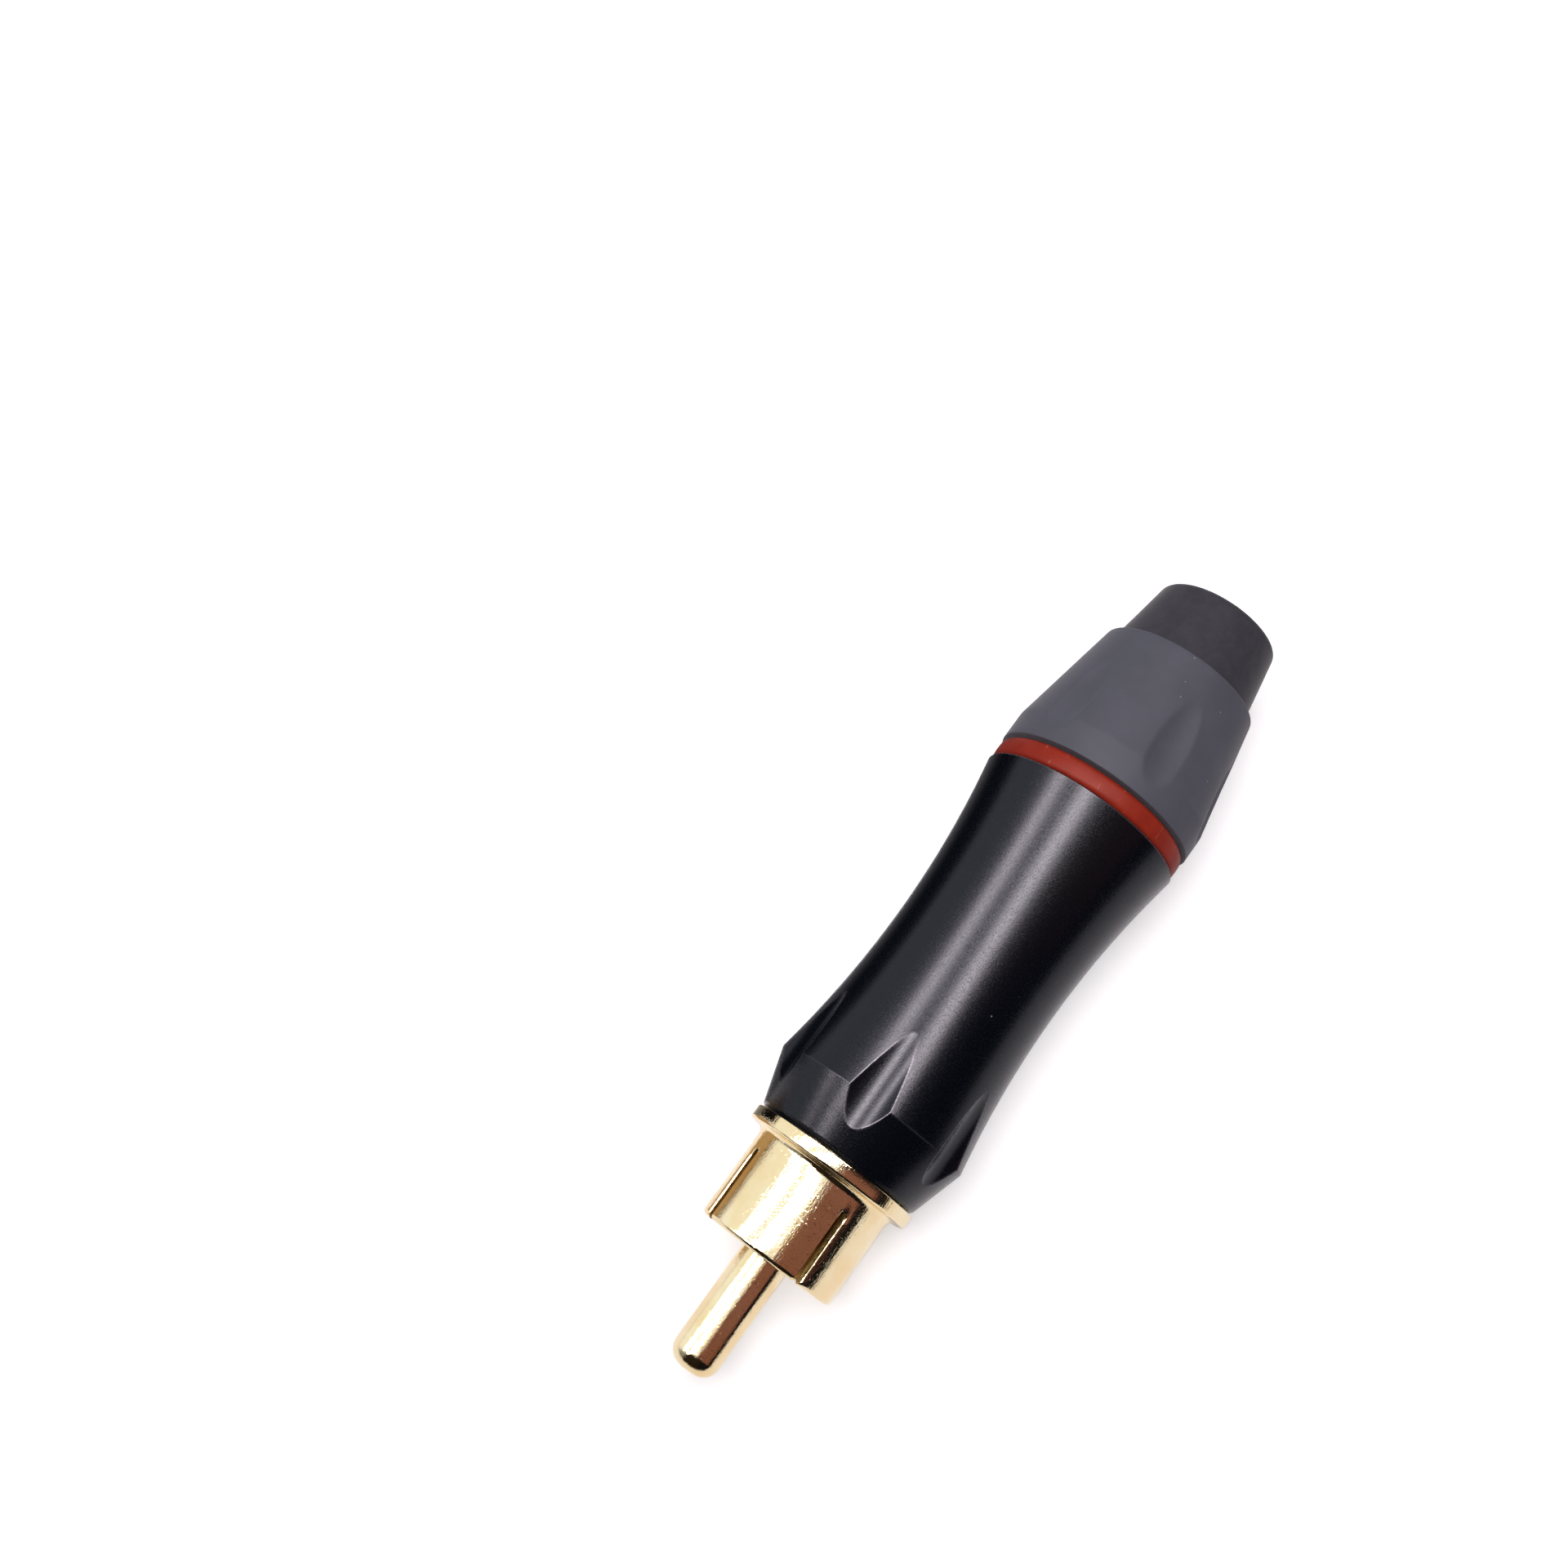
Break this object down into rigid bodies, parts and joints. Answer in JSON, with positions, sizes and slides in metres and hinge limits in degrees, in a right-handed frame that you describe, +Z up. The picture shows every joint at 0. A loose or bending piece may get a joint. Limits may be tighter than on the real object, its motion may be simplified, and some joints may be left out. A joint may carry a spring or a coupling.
{
  "type": "rca plug",
  "caption": "Solder-type phono cable plug: gold pin in a split ground sleeve, waisted fluted black barrel, red ring, grey screw boot and soft cable gland.",
  "frame": {"origin": "middle of the plug's length and width, on the surface it lies on", "axes": "+X along the plug from the pin's tip to the cable gland, +Z up"},
  "size_m": [0.0584, 0.014, 0.014],
  "materials": {
    "gold_contact": "polished gold plate",
    "white_insulator": "moulded",
    "black_barrel": "satin black anodised",
    "red_ring": "satin moulded",
    "natural_nylon": "moulded",
    "grey_boot": "fine matt texture",
    "black_rubber": "matt"
  },
  "bodies": {
    "front_insert": {"ground_shell": "gold_contact", "centre_pin": "gold_contact", "pin_insulator": "white_insulator"},
    "chuck": {"chuck": "natural_nylon"},
    "barrel": {"barrel": "black_barrel"},
    "colour_ring": {"colour_ring": "red_ring"},
    "boot": {"boot": "grey_boot", "cable_gland": "black_rubber"}
  },
  "joints": [
    {"name": "chuck_slide", "type": "slide", "parent": "front_insert", "child": "chuck", "axis": [1, 0, 0], "range_m": [0, 0.0045]},
    {"name": "barrel_turn", "type": "hinge", "parent": "chuck", "child": "barrel", "pos_m": [0, 0, 0.007], "axis": [1, 0, 0], "range_deg": [0, 2160]},
    {"name": "ring_slide", "type": "slide", "parent": "barrel", "child": "colour_ring", "axis": [1, 0, 0], "range_m": [0, 0.0045]},
    {"name": "boot_turn", "type": "hinge", "parent": "colour_ring", "child": "boot", "pos_m": [0, 0, 0.007], "axis": [1, 0, 0], "range_deg": [0, 2160]}
  ],
  "couplings": [
    {"joint": "barrel_turn", "follows": "chuck_slide", "rad_per_m": 8377.6},
    {"joint": "boot_turn", "follows": "ring_slide", "rad_per_m": 8377.6}
  ]
}
